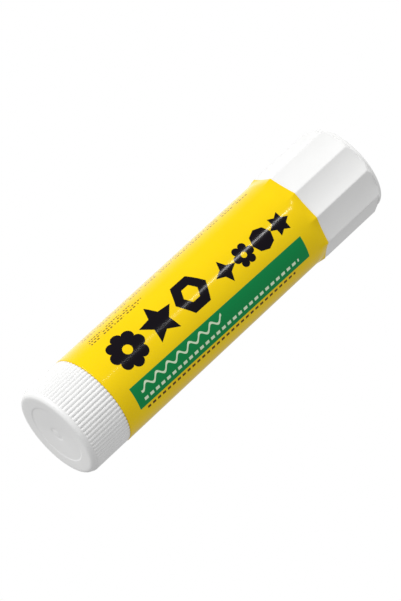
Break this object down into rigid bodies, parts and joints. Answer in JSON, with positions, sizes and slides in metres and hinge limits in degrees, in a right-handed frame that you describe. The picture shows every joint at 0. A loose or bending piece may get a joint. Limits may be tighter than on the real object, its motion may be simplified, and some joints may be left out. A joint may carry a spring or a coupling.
{
  "type": "glue stick",
  "caption": "Twist-up glue stick: ribbed twist knob, film-wrapped barrel and fluted pull-off cap.",
  "frame": {"origin": "centre of the knob's flat underside, on which the stick stands", "axes": "+Z along the stick from the knob to the cap, -Y out of the printed front"},
  "size_m": [0.026, 0.0254, 0.1024],
  "materials": {
    "white_plastic": "satin white moulded plastic",
    "inner_plastic": "plain white moulded plastic",
    "printed_film": "glossy yellow printed shrink film",
    "glue": "smooth waxy off-white glue"
  },
  "bodies": {
    "barrel": {"barrel_tube": "inner_plastic", "label_sleeve": "printed_film"},
    "knob": {"twist_knob": "white_plastic", "screw_spindle": "inner_plastic"},
    "carrier": {"glue_carrier": "inner_plastic", "glue_body": "glue"},
    "cap": {"cap_shell": "white_plastic", "seal_band": "printed_film"}
  },
  "joints": [
    {"name": "knob_twist", "type": "hinge", "parent": "barrel", "child": "knob", "pos_m": [0, 0, 0], "axis": [0, 0, 1], "range_deg": [0, 1350.01]},
    {"name": "carrier_rise", "type": "slide", "parent": "barrel", "child": "carrier", "axis": [0, 0, 1], "range_m": [0, 0.015]},
    {"name": "cap_off", "type": "slide", "parent": "barrel", "child": "cap", "axis": [0, 0, 1], "range_m": [0, 0.03]}
  ],
  "couplings": [
    {"joint": "knob_twist", "follows": "carrier_rise", "rad_per_m": 1570.8}
  ]
}
